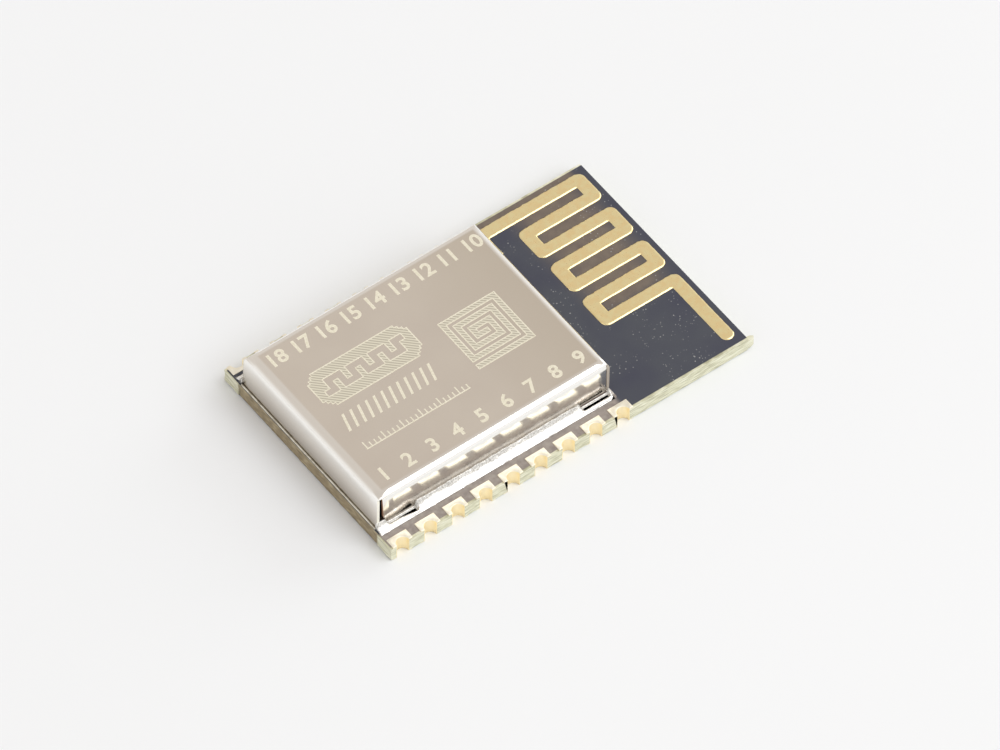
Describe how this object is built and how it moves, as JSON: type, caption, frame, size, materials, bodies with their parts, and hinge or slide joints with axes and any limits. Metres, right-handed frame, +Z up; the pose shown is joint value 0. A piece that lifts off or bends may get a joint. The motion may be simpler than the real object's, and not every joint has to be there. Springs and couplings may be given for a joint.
{
  "type": "wifi module",
  "caption": "Flat circuit board module with half-hole solder pads along both long edges, a folded metal shield can over its parts, and a meandering gold trace antenna at one end.",
  "frame": {"origin": "centre of the board's underside, the face that is soldered down", "axes": "+X along the board from the shield can towards the antenna, +Y towards the rear row of pads, +Z up out of the shield can's top"},
  "size_m": [0.0199, 0.0122, 0.0029],
  "materials": {
    "laminate": "woven glass laminate with rough snapped and milled edges",
    "solder_mask": "dark blue-grey solder mask, satin",
    "gold_plate": "pale gold plating on copper, satin, crisp bright edges",
    "tinned_copper": "tinned copper",
    "solder": "bright tin solder with a lumpy reflowed surface",
    "can_sheet": "warm grey nickel-plated sheet, satin on top, smoother on the walls",
    "chip_moulding": "black moulding compound",
    "crystal_ceramic": "matt grey ceramic",
    "crystal_lid": "plated metal lid, satin",
    "capacitor_ceramic": "tan ceramic, matt",
    "resistor_body": "black glazed film on ceramic",
    "inductor_body": "blue-grey ceramic, matt"
  },
  "bodies": {
    "root": {"pcb_substrate": "laminate", "solder_mask_top": "solder_mask", "solder_mask_bottom": "solder_mask", "antenna_trace": "gold_plate", "ground_ring": "tinned_copper", "component_lands": "gold_plate", "pad_01": "gold_plate", "pad_02": "gold_plate", "pad_03": "gold_plate", "pad_04": "gold_plate", "pad_05": "gold_plate", "pad_06": "gold_plate", "pad_07": "gold_plate", "pad_08": "gold_plate", "pad_09": "gold_plate", "pad_10": "gold_plate", "pad_11": "gold_plate", "pad_12": "gold_plate", "pad_13": "gold_plate", "pad_14": "gold_plate", "pad_15": "gold_plate", "pad_16": "gold_plate", "pad_17": "gold_plate", "pad_18": "gold_plate", "solder_front": "solder", "solder_rear": "solder", "solder_near_end": "solder", "solder_antenna_end": "solder", "shield_can": "can_sheet", "radio_chip": "chip_moulding", "radio_chip_terminals": "tinned_copper", "radio_chip_paddle": "tinned_copper", "crystal_base": "crystal_ceramic", "crystal_lid": "crystal_lid", "capacitor_1": "capacitor_ceramic", "capacitor_1_ends": "tinned_copper", "capacitor_2": "capacitor_ceramic", "capacitor_2_ends": "tinned_copper", "capacitor_3": "capacitor_ceramic", "capacitor_3_ends": "tinned_copper", "capacitor_4": "capacitor_ceramic", "capacitor_4_ends": "tinned_copper", "capacitor_5": "capacitor_ceramic", "capacitor_5_ends": "tinned_copper", "capacitor_6": "capacitor_ceramic", "capacitor_6_ends": "tinned_copper", "resistor_1": "resistor_body", "resistor_1_ends": "tinned_copper", "resistor_2": "resistor_body", "resistor_2_ends": "tinned_copper", "resistor_3": "resistor_body", "resistor_3_ends": "tinned_copper", "inductor_1": "inductor_body", "inductor_1_ends": "tinned_copper", "inductor_2": "inductor_body", "inductor_2_ends": "tinned_copper"}
  },
  "joints": []
}
